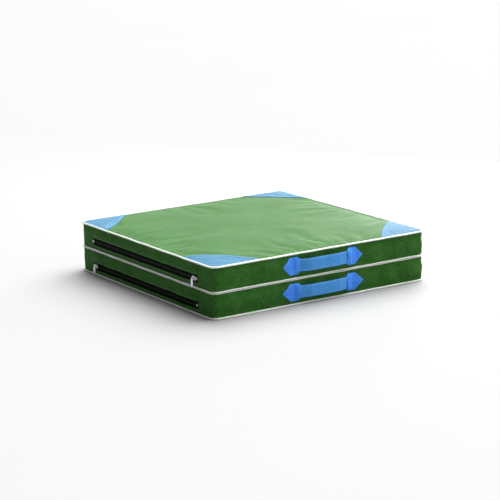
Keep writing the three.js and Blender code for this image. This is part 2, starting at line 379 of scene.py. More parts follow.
def woven(name, color, pitch=THREAD_PITCH, relief=0.10 * MM, contrast=0.3, wear=0.25, bias=False,
          dusty=(0.2, 0.3, 0.17), roughness=0.66, speckle=0.2 * MM, **fixed):
    """Plain-woven cloth: crossing threads, uneven yarn, painted shade in the hollows between the
    threads, soft mottling, and wear along the hems.
    """
    n = Nodes(bpy.data.materials.new(name))
    cloth = n.add("Attribute", output="Vector", attribute_name="weave")
    u, v, hem = n.add("SeparateXYZ", {0: cloth}).node.outputs
    if bias:
        u, v = n.math("ADD", u, v), n.math("SUBTRACT", u, v)
    warp, weft = (n.math("SINE", n.math("MULTIPLY", way, math.pi / pitch), 0.0) for way in (u, v))
    threads = n.spread(n.math("MULTIPLY", warp, weft), -1, 1, 0, 1)
    slub = 1 / (9 * pitch)  # thick and thin stretches of yarn, nine threads long
    yarn = n.math("ADD", n.noise(n.scaled(cloth, (slub, 1 / pitch, 1)), 1.0, 2),
                  n.noise(n.scaled(cloth, (1 / pitch, slub, 1)), 1.0, 2))
    height = n.math("ADD", n.math("MULTIPLY", threads, 0.7), n.math("MULTIPLY", yarn, 0.6))
    mottle = n.noise(cloth, 30.0, 4, 0.6)
    flecks = n.noise(cloth, 95.0, 3, 0.65)
    grain = n.noise(cloth, 260.0, 4, 0.7)
    tone = n.math("ADD", n.math("MULTIPLY", mottle, 0.15), n.math("MULTIPLY", flecks, 0.15))
    tone = n.math("ADD", tone, n.math("MULTIPLY", grain, 0.7))
    tone = n.spread(tone, 0.4, 0.6, 0, 1)
    # painted shade: the cloth is darker where the weave is low, between the threads and where the
    # yarn is thin
    shaded_between_threads = n.tones(tone, color, 0.62, 0.78)
    on_threads = n.tones(tone, color, 1 - contrast, 1 + contrast)
    base = n.mix(n.spread(height, 0.35, 1.1, 0, 1), shaded_between_threads, on_threads)
    near_hem = n.spread(hem, 0.0, 5 * MM, 1, 0)
    worn = n.math("MULTIPLY", near_hem, n.spread(grain, 0.42, 0.7, 0, wear))
    base = n.mix(worn, base, (*dusty, 1.0))
    rough = n.spread(grain, 0.3, 0.7, roughness - 0.06, roughness + 0.08)
    folds = n.bump(n.noise(cloth, 38.0, 3, 0.5), 0.9 * MM, 0.35)
    specks = n.bump(grain, speckle, 0.6, Normal=folds)
    fuzz = n.bump(n.noise(cloth, 900.0, 2, 0.7), 0.10 * MM, 0.5, Normal=specks)
    return n.finish(base, rough, n.bump(height, relief, 0.8, Normal=fuzz), **fixed)


def plain(name):
    """A new material's nodes, and the place on the piece that its pattern follows."""
    n = Nodes(bpy.data.materials.new(name))
    return n, n.add("TexCoord", output="Object")


def thread_material(name, color):
    n, place = plain(name)
    grain = n.noise(place, 1500.0, 2)
    base = n.tones(n.spread(grain, 0.35, 0.65, 0, 1), color, 0.7, 1.15)
    return n.finish(base, 0.6, n.bump(grain, 0.12 * MM), Sheen_Weight=0.2)


def moulded(name, color, roughness, **fixed):
    n, place = plain(name)
    grain = n.noise(place, 700.0, 3)
    rough = n.spread(grain, 0.3, 0.7, roughness - 0.08, roughness + 0.12)
    return n.finish(n.tones(grain, color, 0.7, 1.4), rough, n.bump(grain, 0.05 * MM, 0.5), **fixed)


def plated(name, color):
    n, place = plain(name)
    marks = n.noise(n.scaled(place, (1.0, 6.0, 1.0)), 420.0, 4, 0.65)
    stain = n.spread(n.noise(place, 120.0, 3), 0.35, 0.75, 0, 1)
    rough = n.spread(marks, 0.3, 0.75, 0.2, 0.42)
    return n.finish(n.tones(stain, color, 1.0, 0.72), rough, n.bump(marks, 0.04 * MM, 0.6),
                    Metallic=1.0)


def sponge(name, color):
    n, place = plain(name)
    depth = n.add("TexVoronoi", {"Vector": place, "Scale": 900.0}, "Distance")
    # painted shade: the foam is darker in the pits of its pores
    base = n.tones(n.spread(depth, 0, 0.8, 0, 1), color, 0.8, 1.05)
    return n.finish(base, 0.95, n.bump(depth, 0.4 * MM, 0.7))


def paper(name, color):
    n, place = plain(name)
    base = n.tones(n.noise(place, 1.5, 3), color, 0.99, 1.01)
    return n.finish(base, 0.9, n.bump(n.noise(place, 60.0, 2), 0.2 * MM, 0.05))


CLOTH = {"Specular_IOR_Level": 0.1, "Sheen_Roughness": 0.25}
CANVAS_GREEN = woven("canvas_green", (0.027, 0.116, 0.015), contrast=0.45, speckle=1.0 * MM,
                     Sheen_Weight=0.27, **CLOTH)
CANVAS_BLUE = woven("canvas_blue", (0.060, 0.265, 0.92), contrast=0.14, wear=0.2,
                    dusty=(0.2, 0.45, 0.85), Sheen_Weight=0.12, **CLOTH)
PATCH_BLUE = woven("patch_blue", (0.042, 0.155, 0.255), contrast=0.2, wear=0.2,
                   dusty=(0.25, 0.4, 0.6), Sheen_Weight=0.2, **CLOTH)
STRAP_BLUE = woven("strap_blue", (0.07, 0.30, 0.72), contrast=0.14,
                   dusty=(0.25, 0.5, 0.85), Sheen_Weight=0.12, **CLOTH)
PIPING_WHITE = woven("piping_white", (0.80, 0.84, 0.79), pitch=0.7 * MM, relief=0.05 * MM,
                     contrast=0.05, wear=0.0, bias=True, roughness=0.7, Sheen_Weight=0.1)
ZIP_TAPE = woven("zip_tape", (0.003, 0.007, 0.003), pitch=0.6 * MM, wear=0.0, roughness=0.9,
                 Specular_IOR_Level=0.05)
THREADS = {"green": thread_material("thread_green", (0.05, 0.2, 0.035)),
           "blue": thread_material("thread_blue", (0.16, 0.42, 0.85))}
TEETH = moulded("zip_teeth", (0.005, 0.007, 0.005), 0.5, Specular_IOR_Level=0.25)
METAL = plated("zip_metal", (0.72, 0.74, 0.76))
FOAM = sponge("foam", (0.78, 0.70, 0.48))


# ---------------- the covers' shape

SEAM_DROP = 1.6 * MM  # a face's edge lies this far below its highest plane
CANVAS = 0.9 * MM
OUTER, INNER, WALL, ZIP_WINDOW = range(4)
WALL_ROWS = 8


class Panel:
    """One panel's places, read from the frame. out is +1 where its outer sheet faces up."""

    def __init__(self, name, out):
        self.name = name
        self.out = out
        self.body = f"{name}_panel"
        outer, inner = self.box("outer_sheet"), self.box("inner_sheet")
        flap, slider = self.box("zip_flap"), self.box("zip_slider")
        patch = self.box("patch_hinge_back")
        self.half = outer[1].x
        self.straight = self.box("hinge_strip_half")[1].y
        self.radius = self.half - self.straight
        self.base = min(outer[0].z, inner[0].z)
        self.top = max(outer[1].z, inner[1].z)
        self.mid = (self.base + self.top) / 2
        self.zip_half = flap[1].y
        self.flap_bottom = flap[0].z
        self.facing_top = self.box("zip_facing")[1].z
        self.chain = (slider[0].z + slider[1].z) / 2
        self.patch_leg = patch[1].x - patch[0].x
        self.rests_on_floor = out < 0

    def node(self, label):
        return f"{self.name}_{label}"

    def box(self, label):
        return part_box(self.node(label))

    def piece(self, label, shape, material, slot, nodes=(), weave=None, body="panel"):
        """A piece that rides on one of the panel's bodies and stands for some of its nodes."""
        return piece(self.node(label), shape, material, body and self.node(body),
                     [self.node(node) for node in nodes], weave)


def rounded(x, y, half, radius):
    """Moves the corner cells of a square grid onto rounded corners."""
    straight = half - radius
    a = np.maximum(np.abs(x) - straight, 0)
    b = np.maximum(np.abs(y) - straight, 0)
    both = (a > 0) & (b > 0)
    pull = np.where(both, np.maximum(a, b) / np.maximum(np.hypot(a, b), 1e-12), 1)
    new_x = np.where(both, np.sign(x) * (straight + a * pull), x)
    new_y = np.where(both, np.sign(y) * (straight + b * pull), y)
    return new_x, new_y


def edge_distance(x, y, half, radius):
    """Distance inside the edge of a rounded square."""
    a = np.abs(x) - (half - radius)
    b = np.abs(y) - (half - radius)
    beyond = np.hypot(np.maximum(a, 0), np.maximum(b, 0)) + np.minimum(np.maximum(a, b), 0)
    return radius - beyond


def outward(x, y, straight):
    """The unit direction out of the edge of a rounded square, at points on it."""
    a = np.sign(x) * np.maximum(np.abs(x) - straight, 0)
    b = np.sign(y) * np.maximum(np.abs(y) - straight, 0)
    size = np.maximum(np.hypot(a, b), 1e-12)
    return np.stack([a / size, b / size], -1)


def blurred(values, loop):
    """A grid of numbers, evened out over its neighbours. loop joins the ends of each row."""
    for _ in range(14):
        tall = np.pad(values, ((1, 1), (0, 0)), mode="edge")
        wide = np.pad(values, ((0, 0), (1, 1)), mode="wrap" if loop else "edge")
        around_it = tall[:-2] + tall[2:] + wide[:, :-2] + wide[:, 2:]
        values = (4 * values + 2 * around_it) / 12
    return values


class Cover:
    """The canvas skin of one panel, as two square grids and the wall between their edges."""

    def __init__(self, panel):
        self.panel = p = panel
        line = spaced([-p.half, -p.straight, -p.zip_half, p.zip_half, p.straight, p.half],
                      [4, 5, 48, 5, 4])
        self.size = len(line)
        grid_x, grid_y = np.meshgrid(line, line, indexing="ij")
        self.x, self.y = rounded(grid_x, grid_y, p.half, p.radius)
        self.depth = edge_distance(self.x, self.y, p.half, p.radius)
        last = self.size - 1
        front = [(i, 0) for i in range(last)]
        hinge = [(last, j) for j in range(last)]
        back = [(i, last) for i in range(last, 0, -1)]
        zipped = [(0, j) for j in range(last, 0, -1)]
        self.edge = np.array(front + hinge + back + zipped)
        self.edge_xy = np.stack([self.x[tuple(self.edge.T)], self.y[tuple(self.edge.T)]], 1)
        self.edge_out = outward(*self.edge_xy.T, p.straight)
        step = np.linalg.norm(np.roll(self.edge_xy, -1, 0) - self.edge_xy, axis=1)
        self.round = np.r_[0, np.cumsum(step)[:-1]]
        self.length = step.sum()
        self.seed = 11 if p.out > 0 else 47
        self.foot = self.seam(p.base, 1, 1)
        self.head = self.seam(p.top, -1, 5)

    def wander(self, wavelength, seed):
        """Smooth ups and downs round the edge, from -1 to 1, that close on themselves."""
        rng = np.random.default_rng(self.seed + seed)
        count = max(int(self.length / wavelength), 2)
        angle = 2 * math.pi * self.round / self.length
        waves = [
            np.sin(angle * rng.integers(count // 2, count * 2) + rng.uniform(0, 2 * math.pi))
            for _ in range(6)
        ]
        return sum(waves) / math.sqrt(len(waves))

    def seam(self, level, inwards, seed):
        """The seam line at the foot or the head of the wall, a little uneven as sewn."""
        sway = 0.4 * MM * self.wander(95 * MM, seed) + 0.1 * MM * self.wander(24 * MM, seed + 1)
        lift = 0.35 * MM * np.clip(self.wander(100 * MM, seed + 2), -1, 1)
        xy = self.edge_xy + self.edge_out * (sway - 0.3 * MM)[:, None]
        return np.column_stack([xy, level + inwards * (SEAM_DROP + lift)])

    def build(self, low_relief, high_relief, wall_relief):
        """Points of the skin. The reliefs stand out of the two faces and of the wall."""
        low = xyz(self.x, self.y, self.panel.base - low_relief)
        high = xyz(self.x, self.y, self.panel.top + high_relief)
        low[tuple(self.edge.T)] = self.foot
        high[tuple(self.edge.T)] = self.head
        rows = []
        for r in range(1, WALL_ROWS):
            t = r / WALL_ROWS
            row = self.foot * (1 - t) + self.head * t
            row[:, :2] += self.edge_out * wall_relief[r - 1][:, None]
            rows.append(row)
        return np.concatenate([low.reshape(-1, 3), high.reshape(-1, 3), *rows])

    def faces(self):
        """Quads and what each one belongs to."""
        n, ring = self.size, len(self.edge)
        up = [(i * n + j, (i + 1) * n + j, (i + 1) * n + j + 1, i * n + j + 1)
              for i in range(n - 1) for j in range(n - 1)]
        down = [tuple(reversed(f)) for f in up]
        up = [tuple(i + n * n for i in f) for f in up]
        foot, head = np.array(self.seam_points()).reshape(2, ring)
        between = 2 * n * n + np.arange((WALL_ROWS - 1) * ring)
        rows = np.concatenate([foot, between, head])
        wall = [tuple(f) for f in rows[grid_faces(WALL_ROWS + 1, ring, loop=True)].tolist()]
        x, y = (self.edge_xy + np.roll(self.edge_xy, -1, 0)).T / 2
        in_window = (x < -self.panel.straight) & (np.abs(y) < self.panel.zip_half)
        under, over = (INNER, OUTER) if self.panel.out > 0 else (OUTER, INNER)
        tags = [under] * len(down) + [over] * len(up)
        tags += [ZIP_WINDOW if inside else WALL for _ in range(WALL_ROWS) for inside in in_window]
        return down + up + wall, tags

    def seam_points(self):
        """The numbers of the points along the foot, and then of those along the head."""
        foot = self.edge[:, 0] * self.size + self.edge[:, 1]
        return [*foot, *(foot + self.size**2)]


CLOTH_STEPS = 20
CLOTH_SETTINGS = {
    "quality": 6, "mass": 0.35, "tension_stiffness": 25, "compression_stiffness": 25,
    "shear_stiffness": 12, "bending_stiffness": 1.2, "shrink_min": -0.012,
    "use_pressure": True, "uniform_pressure_force": 4.0, "vertex_group_mass": "seams",
}
CUT_INSET = 0.6 * MM  # of the faces before the simulation


def start_cloth(cover):
    """The cover as cut, a little too large, pinned along its seams and pressed out by the foam."""
    flat = np.zeros((cover.size, cover.size)) - CUT_INSET
    points = cover.build(flat, flat, np.zeros((WALL_ROWS - 1, len(cover.edge))))
    obj = linked("cloth", raw_mesh("cloth", points, cover.faces()[0]))
    pins = obj.vertex_groups.new(name="seams")
    pins.add([int(i) for i in cover.seam_points()], 1.0, "REPLACE")
    cloth = obj.modifiers.new("cloth", "CLOTH")
    for key, value in CLOTH_SETTINGS.items():
        setattr(cloth.settings, key, value)
    cloth.settings.effector_weights.gravity = 0.0
    cloth.point_cache.frame_start = 1
    cloth.point_cache.frame_end = CLOTH_STEPS
    return obj, points


def simulate(covers):
    """Runs both covers as cloth, and keeps how far each point moved."""
    started = [start_cloth(cover) for cover in covers]
    for number in range(1, CLOTH_STEPS + 1):
        SCENE.frame_set(number)
    graph = bpy.context.evaluated_depsgraph_get()
    for cover, (obj, points) in zip(covers, started):
        mesh = obj.evaluated_get(graph).to_mesh()
        cover.moved = read(mesh.vertices, "co", 3, np.float32) - points
        bpy.data.objects.remove(obj)
    SCENE.frame_set(1)


# ---------------- the covers, finished

CROWN = 2.4 * MM  # how far the free top face swells in the middle
SWAY, SWAY_WAVE, SWAY_FADE = 1.0 * MM, 130 * MM, 40 * MM  # slow ups and downs of a face
PUCKER, PUCKER_WAVE, PUCKER_FADE = 0.8 * MM, 22 * MM, 12 * MM  # height, length, and reach inwards
SEAM_FADE = 5 * MM  # a face rises from its seam over about this distance
PATCH_CALM = (24 * MM, 12 * MM)  # a face calms down between these distances before a patch
WALL_BULGE = 1.3 * MM
WALL_SWAY, WALL_SWAY_WAVE = 0.7 * MM, 110 * MM
WALL_CRUMPLE, WALL_CRUMPLE_WAVE = 0.25 * MM, 34 * MM
ZIP_HEM, ZIP_HEM_END = 0.5 * MM, (7 * MM, 9 * MM)  # past the ends of the opening, turned-in cloth
WRINKLE = 1.2 * MM  # most that the simulation may add
RESTING_INSET = 0.3 * MM  # of a face that rests on something, behind its plane
RELIEF_LIMIT = -0.05 * MM  # and the nearest that such a face comes to its plane
PATCH_BULGE = 6 * MM  # of a patch's long edge
PATCH_LIFT = 0.8 * MM  # of its face off the canvas, and of its turned-in hem
PATCH_HEM_LIFT = 1.2 * MM


def fine_relief(cover):
    """The small wrinkles that the simulation left in the two faces and in the wall."""
    n = cover.size
    low = -cover.moved[: n * n, 2].reshape(n, n)
    high = cover.moved[n * n : 2 * n * n, 2].reshape(n, n)
    wall = cover.moved[2 * n * n :, :2].reshape(WALL_ROWS - 1, -1, 2)
    wall = (wall * cover.edge_out).sum(-1)
    reliefs = ((low, False), (high, False), (wall, True))
    return [np.clip(v - blurred(v, loop), -WRINKLE, WRINKLE) for v, loop in reliefs]


def face_relief(cover, wrinkle, free, patched):
    """How far a face stands out of its panel's plane. Only a free face may stand proud of it."""
    x, y, depth = cover.x, cover.y, cover.depth
    half = cover.panel.half
    corner = 2 * half - cover.panel.patch_leg
    calm_from, calm_to = (corner - distance for distance in PATCH_CALM)
    patch = patched * smooth(np.abs(x) + np.abs(y), calm_from, calm_to)
    sway = ripple(x, y, SWAY_WAVE, cover.seed + 31)
    pucker = PUCKER * ripple(x, y, PUCKER_WAVE, cover.seed + 37) * np.exp(-depth / PUCKER_FADE)
    relief = pucker * (1 - 0.8 * patch) - SEAM_DROP * np.exp(-depth / SEAM_FADE)
    wrinkle = wrinkle * (1 - 0.6 * patch)
    inside = smooth(depth, 0, SWAY_FADE)
    if free:
        swell = CROWN * (1 - (x / half) ** 4) * (1 - (y / half) ** 4)
        return relief + swell + SWAY * sway * inside + 1.2 * wrinkle
    relief += -RESTING_INSET - inside * (0.5 - 0.5 * sway) * SWAY + 0.8 * wrinkle
    return np.minimum(relief - PATCH_HEM_LIFT * patch, RELIEF_LIMIT)


def wall_relief(cover, wrinkle):
    """How far each row of the wall stands out of the straight line between the seams."""
    zip_side = smooth(-cover.edge_out[:, 0], 0.6, 1.0)
    at_corner = np.abs(cover.edge_out).min(1) / math.sqrt(0.5)
    bulge = WALL_BULGE * (1 - 0.7 * zip_side) * (1 - 0.35 * at_corner)
    from_zip = np.abs(cover.edge_xy[:, 1]) - cover.panel.zip_half
    hem = zip_side * smooth(from_zip, -1 * MM, 0) * (1 - smooth(from_zip, *ZIP_HEM_END))
    calm = 1 - 0.8 * zip_side
    rows = []
    for r in range(1, WALL_ROWS):
        profile = 1 - (2 * r / WALL_ROWS - 1) ** 2
        row = bulge * profile + ZIP_HEM * hem
        row = row + WALL_SWAY * calm * cover.wander(WALL_SWAY_WAVE, 9) * profile
        row += WALL_CRUMPLE * calm * cover.wander(WALL_CRUMPLE_WAVE, 20 + r)
        rows.append(row + calm * 1.4 * wrinkle[r - 1])
    return rows


def subdivided(cover, points):
    """The skin subdivided once with its seams kept sharp: points, quads and each quad's tag."""
    faces, tags = cover.faces()
    mesh = raw_mesh("skin", points, faces)
    mesh.polygons.foreach_set("material_index", tags)
    seams = np.zeros(len(points), bool)
    seams[cover.seam_points()] = True
    both = seams[read(mesh.edges, "vertices", 2)].all(1)
    crease = mesh.attributes.new("crease_edge", "FLOAT", "EDGE")
    crease.data.foreach_set("value", both.astype(np.float32))
    obj = linked("skin", mesh)
    obj.modifiers.new("fine", "SUBSURF").levels = 1
    fine = obj.evaluated_get(bpy.context.evaluated_depsgraph_get()).to_mesh()
    places = read(fine.vertices, "co", 3, np.float32).astype(float)
    quads = read(fine.loops, "vertex_index").reshape(-1, 4)
    kinds = read(fine.polygons, "material_index")[:, 0]
    bpy.data.objects.remove(obj)
    return places, quads, kinds


def only(points, quads):
    """The points that these quads use, and the quads renumbered to them."""
    used, renumbered = np.unique(quads, return_inverse=True)
    return points[used], [tuple(f) for f in renumbered.reshape(-1, 4).tolist()]


def sheets_of(cover):
    """The finished canvas of one cover: {tag: (points, faces)}."""
    outer_up = cover.panel.out > 0
    low_fine, high_fine, wall_fine = fine_relief(cover)
    low = face_relief(cover, low_fine, free=False, patched=not outer_up)
    high = face_relief(cover, high_fine, free=outer_up, patched=outer_up)
    points = cover.build(low, high, wall_relief(cover, wall_fine))
    points, quads, kinds = subdivided(cover, points)
    return {tag: only(points, quads[kinds == tag]) for tag in (OUTER, INNER, WALL, ZIP_WINDOW)}


def round_the_wall(cover, points):
    """For points on the wall: the distance round it from the middle of the zip."""
    ring = cover.edge_xy
    ahead = unit(np.roll(ring, -1, 0) - np.roll(ring, 1, 0))
    nearest = ((points[:, None, :2] - ring[None]) ** 2).sum(-1).argmin(1)
    past = ((points[:, :2] - ring[nearest]) * ahead[nearest]).sum(1)
    middle = np.argmin(np.hypot(ring[:, 0] + cover.panel.half, ring[:, 1]))
    return (cover.round[nearest] + past - cover.round[middle]) % cover.length


def canvas_pieces(cover, sheets):
    p = cover.panel
    for tag, label in ((OUTER, "outer"), (INNER, "inner")):
        points, faces = sheets[tag]
        x, y, _ = points.T
        obj = p.piece(f"{label}_canvas", thickened(points, faces, CANVAS), CANVAS_GREEN,
                      "canvas_green", [f"{label}_sheet"],
                      (x, y, edge_distance(x, y, p.half, p.radius)))
        p.node("foam")
    points, faces = sheets[WALL]
    x, y, z = points.T
    from_zip = np.where(x < -p.straight, np.abs(y) - p.zip_half, 1.0)
    hem = least(z - p.base, p.top - z, np.maximum(from_zip, 0))
    wall = p.piece("wall_canvas", thickened(points, faces, CANVAS), CANVAS_GREEN, "canvas_green",
                   ["side_wall"], (round_the_wall(cover, points), z - p.base, hem))
    p.node("foam")


FOAM_INSET = 2.8 * MM  # inside the cover's walls
FOAM_GAP = 3.4 * MM  # inside the planes of its faces
FOAM_EDGE = 6 * MM  # radius of the slab's long edges


def foam_piece(panel):
    """The foam slab: a rounded slab, a little smaller than its cover."""
    straight = panel.half - FOAM_INSET - panel.radius
    height = (panel.top - panel.base) / 2 - FOAM_GAP
    rings = []
    for tilt in np.linspace(-math.pi / 2, math.pi / 2, 13):
        drawn_in = FOAM_EDGE * (1 - math.cos(tilt))
        quarter = quarter_arc(9) * (panel.radius - drawn_in) + straight
        level = panel.mid + math.copysign(height - FOAM_EDGE * (1 - abs(math.sin(tilt))), tilt)
        ring = []
        for _ in range(4):
            ring.append(xyz(*quarter.T, level))
            quarter = np.stack([-quarter[:, 1], quarter[:, 0]], 1)
        rings.append(np.concatenate(ring))
    obj = panel.piece("foam", lofted(rings), FOAM, "foam", ["foam_core"])


# ---------------- piping

# Each run of piping: its radius, and how far its centre lies in front of the seam. Where the
# panels meet, the lower one's run is tucked in behind the upper one's.
PIPING = {"outer": (1.75 * MM, 1.3 * MM), "inner": (1.25 * MM, 1.4 * MM),
          "tucked": (0.9 * MM, 0.1 * MM)}
PIPING_SIDES = 14
PIPING_SUNK = 0.35 * MM  # of an inner run, closer to the face's plane than its seam
PIPING_UNDER_STRIP = 8 * MM  # of each end of an inner run


def piping_piece(cover, outer):
    """Piping sewn into the seam of a face: a closed loop round the outer one, and round the inner
    one an open run whose ends go under the hinge strip."""
    p = cover.panel
    at_top = (p.out > 0) == outer
    level, inwards, seam = (p.top, -1, cover.head) if at_top else (p.base, 1, cover.foot)
    label = "outer" if outer else "inner"
    thickness, stands_out = PIPING[label if outer or p.out > 0 else "tucked"]
    sunk = 0.0 if outer else PIPING_SUNK
    inside = np.maximum(np.abs(seam[:, 2] - level) - sunk, thickness + 0.05 * MM)
    centre = seam[:, :2] + cover.edge_out * stands_out
    line = np.column_stack([centre, level + inwards * inside])
    if not outer:
        x, y = cover.edge_xy.T
        under_strip = (x > p.straight) & (np.abs(y) < p.straight - PIPING_UNDER_STRIP)
        first = np.flatnonzero(under_strip)[-1] + 1
        line = np.roll(line, -first, 0)[~np.roll(under_strip, -first)]
    line = curved(line, 3, closed=outer)
    rng = np.random.default_rng(cover.seed + 70 + at_top)
    grain = np.convolve(rng.normal(size=len(line) + 4), np.ones(5) / 5, "valid")
    radius = thickness * (1 + 0.05 * grain)
    if not outer:
        from_end = np.minimum(np.arange(len(line)), np.arange(len(line))[::-1])
        radius = radius * (0.35 + 0.65 * smooth(from_end, 0, 3))
    turn = np.arange(PIPING_SIDES) / PIPING_SIDES * 2 * math.pi * thickness
    p.piece(f"{label}_cord_piping", tube(line, radius, PIPING_SIDES, closed=outer), PIPING_WHITE,
            "piping_white", [f"{label}_piping"], (walked(line)[:, None], turn, 1.0))


# ---------------- things laid on the canvas

STITCH_LENGTH = 3.0 * MM
STITCH_PITCH = 4.0 * MM
STITCH_WIDTH = 0.75 * MM
STITCH_MARGIN = 1.2 * MM  # free at both ends of a row


def unrolled(section):
    """The length of a line of points: how wide a bent sheet is when it lies flat."""
    return float(np.linalg.norm(np.diff(section, axis=0), axis=1).sum())


def facing(points, faces, out):
    """The faces, all turned over if they don't face the way out points."""
    if (vertex_normals(points, faces) @ np.array(out, float)).sum() < 0:
        return [tuple(reversed(f)) for f in faces]
    return faces


def laid(surface, grid, out, lift):
    """A grid of points laid on a surface from outside, and lifted off it by lift, the same for
    all or one for each point. Gives points and faces that look outwards."""
    rows, columns = grid.shape[:2]
    places, _ = surface.land(grid.reshape(-1, 3), out)
    places = places + np.array(out, float) * np.broadcast_to(lift, (rows, columns)).reshape(-1, 1)
    return places, facing(places, grid_faces(rows, columns), out)


def stitch_mesh(centres, along, normals, length=STITCH_LENGTH, width=STITCH_WIDTH):
    """Thread stitches: short rounded bars that sink into the cloth at both ends."""
    turn = around(6)
    stations = ((-0.5, 0.35, -0.35), (-0.3, 1.0, 0.2), (0.3, 1.0, 0.2), (0.5, 0.35, -0.35))
    bars = []
    for centre, a, b, n in zip(centres, along, np.cross(normals, along), normals):
        circle = np.outer(np.cos(turn), b) + np.outer(np.sin(turn), n)
        bars.append(lofted([centre + a * length * s + n * width * h + width / 2 * size * circle
                            for s, size, h in stations]))
    return joined(*bars)


def sewn(panel, label, lines, surface, out, thread, body="panel", length=STITCH_LENGTH):
    """Rows of stitches that follow lines on a surface."""
    rows = []
    for line in lines:
        centres, along = resampled(line, STITCH_PITCH, STITCH_MARGIN)
        places, normals = surface.land(centres, out)
        along = unit(along - normals * (along * normals).sum(1)[:, None])
        rows.append(stitch_mesh(places, along, normals, length))
    return panel.piece(label, joined(*rows), THREADS[thread], f"canvas_{thread}", body=body)


# ---------------- corner patches

CORNERS = {"hinge_back": (1, 1), "zip_back": (-1, 1), "zip_front": (-1, -1),
           "hinge_front": (1, -1)}
PATCH_INSET = 0.5 * MM  # inside the edge of the face
PATCH_HEM = (9 * MM, 12 * MM)  # the hem thins out between these distances from the long edge
PATCH_STITCHES = (3 * MM, 7 * MM, 14 * MM)  # rows, from the long edge
PATCH_MARGIN = 2.5 * MM  # between the ends of the rows and the panel's edge
TURNED = np.array([[math.sqrt(0.5), math.sqrt(0.5)], [-math.sqrt(0.5), math.sqrt(0.5)]])


def patch_edges(panel, t):
    """For shares t of a patch in the +X +Y corner: points on its long edge and on its two legs."""
    half, leg = panel.half, panel.patch_leg
    edge, radius = half - PATCH_INSET, panel.radius - PATCH_INSET
    ends = np.array([(edge, half - leg), (half - leg, edge)])
    middle = half - leg / 2 - PATCH_BULGE * math.sqrt(2)
    long_edge = (np.outer((1 - t) ** 2, ends[0]) + np.outer(2 * t * (1 - t), (middle, middle))
                 + np.outer(t**2, ends[1]))
    legs = np.concatenate([ends[:1], panel.straight + radius * quarter_arc(13), ends[1:]])
    share = walked(legs) / walked(legs)[-1]
    return long_edge, np.stack([np.interp(t, share, legs[:, k]) for k in range(2)], 1)


def patch_pieces(panel, surface):
    out = (0, 0, panel.out)
    long_edge, legs = patch_edges(panel, np.linspace(0.02, 0.98, 81))
    share = np.r_[0, 0.012, 0.03, np.linspace(0.06, 0.9, 18), 0.93, 0.96, 0.98, 1]
    flat = long_edge[:, None] + share[None, :, None] * (legs - long_edge)[:, None]
    along = np.linalg.norm(long_edge - long_edge[0], axis=1)[:, None]
    from_edge = np.linalg.norm(flat - long_edge[:, None], axis=-1)
    lift = PATCH_LIFT + (PATCH_HEM_LIFT - PATCH_LIFT) * (1 - smooth(from_edge, *PATCH_HEM))
    lift = lift - 0.5 * MM * (from_edge < 0.2 * MM)
    rows = [long_edge + normals_beside(long_edge) * distance for distance in PATCH_STITCHES]
    rows = [row[(row < panel.half - PATCH_MARGIN).all(1)] for row in rows]
    for number, (label, mirror) in enumerate(CORNERS.items()):
        raised = lift + 0.15 * MM * ripple(along, from_edge, 16 * MM, number + 80)
        spots = flat * mirror
        points, faces = laid(surface, xyz(*spots.transpose(2, 0, 1), panel.mid), out, raised)
        if panel.rests_on_floor:
            points[:, 2] = np.maximum(points[:, 2], panel.base + 0.02 * MM)
        solid = thickened(points, faces, raised.ravel() - 0.05 * MM)
        weave = (*(spots.reshape(-1, 2) @ TURNED).T, from_edge.ravel())
        patch = panel.piece(f"corner_{label}", solid, PATCH_BLUE, "canvas_blue",
                            [f"patch_{label}"], weave)
        panel.node("outer_canvas")
        lines = [xyz(*(row * mirror).T, panel.mid) for row in rows]
        sewn(panel, f"corner_{label}_stitches", lines, Surface(points, faces), out, "blue")


# ---------------- zip

ZIP_OUT = (-1, 0, 0)
STRIP_OVERLAP = 2.5 * MM  # of a canvas strip over each end of the zip's opening
STRIP_FROM_SEAM = 3.2 * MM
STRIP_THICKNESS = 1.0 * MM
STRIP_CALM = 22 * MM  # a strip lies closer to the wall this near to the ends of the opening
STRIP_WAVE = 45 * MM  # length of the waves of its free edge
FLAP_LIFT, FLAP_FOLD = (0.5 * MM, 2.8 * MM), 1.8 * MM
FACING_LIFT, FACING_FOLD = (0.4 * MM, 0.8 * MM), 0.5 * MM
FLAP_STITCHES, FACING_STITCHES = 2.2 * MM, 1.8 * MM  # from the free edges
ZIP_END_STITCHES = (4.2 * MM, 7.2 * MM)  # past the ends of the opening
TAPE_RECESS = 0.6 * MM
TAPE_THICKNESS = 0.8 * MM
TAPE_TUCK = 2 * MM  # behind each canvas strip
TOOTH_PITCH = 2.6 * MM
TOOTH = (3.4 * MM, 1.25 * MM)  # length across the chain, and width
TOOTH_PLACE = (0.7 * MM, 0.9 * MM)  # out from the tape, and to its side of the chain's middle
CHAIN_MARGIN = 4 * MM  # without teeth, at each end of the tapes


